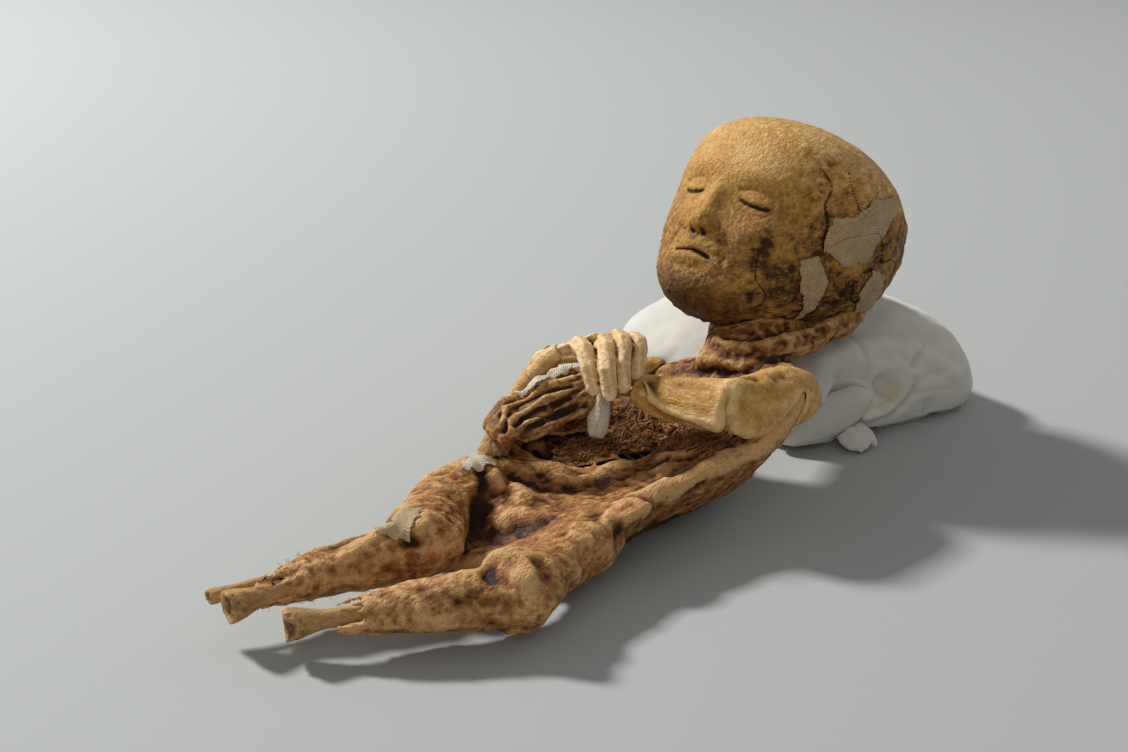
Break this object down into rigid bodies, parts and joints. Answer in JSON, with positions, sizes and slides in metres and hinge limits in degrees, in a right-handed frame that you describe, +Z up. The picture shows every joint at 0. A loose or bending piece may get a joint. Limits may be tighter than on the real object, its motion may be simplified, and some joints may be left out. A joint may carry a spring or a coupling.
{
  "type": "child mummy",
  "caption": "Naturally dried infant mummy lying on its back, head and shoulders on a small white cotton pillow, arms folded over the belly, feet missing, bare shin bones.",
  "frame": {"origin": "middle of the bounding box, on the table", "axes": "+X towards the body's left side, +Y from the feet towards the top of the head, +Z up"},
  "size_m": [0.2244, 0.5086, 0.1853],
  "materials": {
    "skin_gold": "dried skin, golden ochre at the crown and dark brown in the creases, with a faint waxy sheen",
    "bone": "dry ochre-brown bone, matte",
    "skin_brown": "dried skin, orange-brown, fibrous and matte",
    "linen_grey": "coarse grey-beige linen weave, matte",
    "skin_tan": "dried skin, golden tan, waxy and streaked",
    "skin_pale": "dried skin, cream ivory, waxy",
    "skin_leg": "dried skin, tan-brown leather with pale ridges",
    "linen_white": "dry white linen threads, matte",
    "cotton": "plain woven off-white cotton, soft and matte"
  },
  "bodies": {
    "pillow": {"pillow": "cotton", "pillow_flap": "cotton", "pillow_tail": "cotton"},
    "mummy": {"head_skin": "skin_gold", "skull": "bone", "lower_jaw": "bone", "neck_vertebrae": "bone", "neck_skin": "skin_brown", "temple_linen": "linen_grey", "cheek_linen": "linen_grey", "nape_linen": "linen_grey", "trunk_skin": "skin_brown", "chest_vertebrae": "bone", "loin_vertebrae": "bone", "sacrum": "bone", "breastbone": "bone", "ribs_left": "bone", "collar_bone_left": "bone", "shoulder_blade_left": "bone", "hip_bone_left": "bone", "ribs_right": "bone", "collar_bone_right": "bone", "shoulder_blade_right": "bone", "hip_bone_right": "bone", "upper_arm_skin_left": "skin_tan", "forearm_skin_left": "skin_tan", "hand_left": "skin_tan", "humerus_left": "bone", "radius_left": "bone", "ulna_left": "bone", "upper_arm_skin_right": "skin_tan", "forearm_skin_right": "skin_tan", "hand_right": "skin_pale", "humerus_right": "bone", "radius_right": "bone", "ulna_right": "bone", "thigh_skin_left": "skin_leg", "shin_skin_left": "skin_leg", "femur_left": "bone", "tibia_left": "bone", "fibula_left": "bone", "thigh_skin_right": "skin_leg", "shin_skin_right": "skin_leg", "femur_right": "bone", "tibia_right": "bone", "fibula_right": "bone", "wrist_linen": "linen_white", "thumb_linen": "linen_grey", "knee_linen": "linen_white", "hip_linen": "linen_white"}
  },
  "joints": [
    {"name": "mummy_lift", "type": "slide", "parent": "pillow", "child": "mummy", "axis": [0, 0, 1], "range_m": [0, 0.15]}
  ]
}
